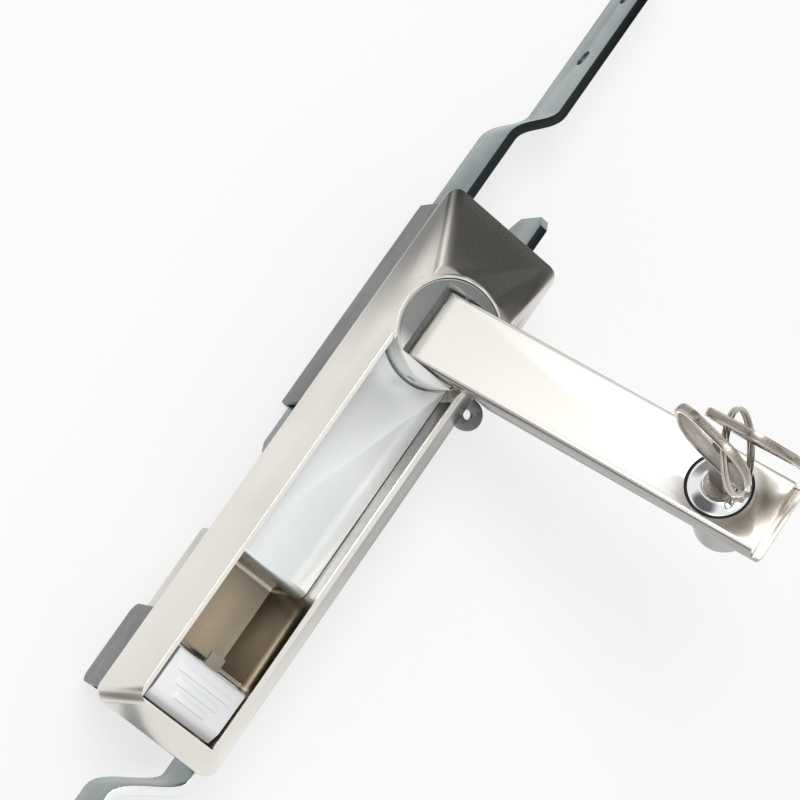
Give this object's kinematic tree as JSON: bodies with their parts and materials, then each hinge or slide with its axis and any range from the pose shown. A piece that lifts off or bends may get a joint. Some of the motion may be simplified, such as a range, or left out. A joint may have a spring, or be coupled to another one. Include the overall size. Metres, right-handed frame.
{
  "type": "swing handle rod lock",
  "caption": "Cabinet door lock with a pop-out swing handle, key cylinder, push release and a rack-and-pinion drive for two flat rods.",
  "frame": {"origin": "middle of the body on the front face of the door sheet, which the flange's back lies on", "axes": "+X across the lock towards the side the handle is turned to, +Y along the body towards the rotor, +Z out of the door"},
  "size_m": [0.1201, 0.4, 0.1545],
  "materials": {
    "pearl_nickel": "satin",
    "satin_white_nickel": "satin",
    "zinc_bright": "bright plated",
    "zinc_blue": "zinc plated",
    "zinc_grey": "zinc plated",
    "zinc_dull": "zinc plated",
    "pin_steel": "ground",
    "spring_steel": "drawn wire",
    "bronze": "turned",
    "lock_brass": "turned",
    "black_nylon": "matte",
    "bright_chrome": "polished",
    "plug_nickel": "satin",
    "key_nickel": "brushed",
    "ring_nickel": "polished",
    "matte_silver": "matte"
  },
  "bodies": {
    "housing": {"bezel_body": "pearl_nickel", "tray_plate": "zinc_bright", "case_plate": "zinc_grey", "gear_case": "zinc_grey", "rod_guides": "black_nylon", "case_screws": "zinc_dull", "spindle_bush": "bronze", "lower_clamp": "zinc_grey", "clamp_screw": "zinc_dull", "button_pin": "pin_steel", "button_spring": "spring_steel"},
    "turret": {"rotor": "pearl_nickel", "hinge_pin": "pin_steel", "pop_spring": "spring_steel", "rotor_circlip": "spring_steel", "spindle": "zinc_dull", "pinion": "zinc_dull", "spindle_screw": "zinc_dull"},
    "handle": {"handle_grip": "satin_white_nickel", "cylinder_cover": "bright_chrome", "lock_barrel": "lock_brass", "barrel_clip": "spring_steel"},
    "plug": {"lock_plug": "plug_nickel", "lock_cam": "zinc_dull", "cam_screw": "zinc_dull", "inserted_key": "key_nickel"},
    "ring": {"split_ring": "ring_nickel"},
    "second_key": {"spare_key": "key_nickel"},
    "bar_up": {"upper_rod": "zinc_blue"},
    "bar_down": {"lower_rod": "zinc_blue"},
    "button": {"release_button": "matte_silver"}
  },
  "joints": [
    {"name": "handle_turn", "type": "hinge", "parent": "housing", "child": "turret", "pos_m": [0, 0.0531, 0], "axis": [0, 0, 1], "range_deg": [-90, 0]},
    {"name": "handle_fold", "type": "hinge", "parent": "turret", "child": "handle", "pos_m": [0, 0.0531, 0.0075], "axis": [0, 1, 0], "range_deg": [0, 9], "stiffness_Nm_per_rad": 0.15, "springref_deg": -80.21, "deforming": ["pop_spring"]},
    {"name": "upper_rod_slide", "type": "slide", "parent": "housing", "child": "bar_up", "axis": [0, 1, 0], "range_m": [0, 0.02]},
    {"name": "lower_rod_slide", "type": "slide", "parent": "housing", "child": "bar_down", "axis": [0, 1, 0], "range_m": [-0.02, 0]},
    {"name": "button_press", "type": "hinge", "parent": "housing", "child": "button", "pos_m": [0, -0.073, 0.0042], "axis": [1, 0, 0], "range_deg": [0, 8], "stiffness_Nm_per_rad": 0.4, "springref_deg": -6.88, "deforming": ["button_spring"]},
    {"name": "key_turn", "type": "hinge", "parent": "handle", "child": "plug", "pos_m": [0.07129, 0.0531, 0.07345], "axis": [-0.6428, 0, 0.766], "range_deg": [-90, 0]},
    {"name": "ring_swing", "type": "hinge", "parent": "plug", "child": "ring", "pos_m": [0.05185, 0.05181, 0.10413], "axis": [0.1983, 0.9659, 0.1664], "range_deg": [-20, 0]},
    {"name": "spare_key_swing", "type": "hinge", "parent": "ring", "child": "second_key", "pos_m": [0.04923, 0.05936, 0.10212], "axis": [-0.1739, 0.9627, 0.2073], "range_deg": [-15, 0]}
  ],
  "couplings": [
    {"joint": "upper_rod_slide", "follows": "handle_turn", "m_per_rad": -0.012732},
    {"joint": "lower_rod_slide", "follows": "handle_turn", "m_per_rad": 0.012732}
  ]
}
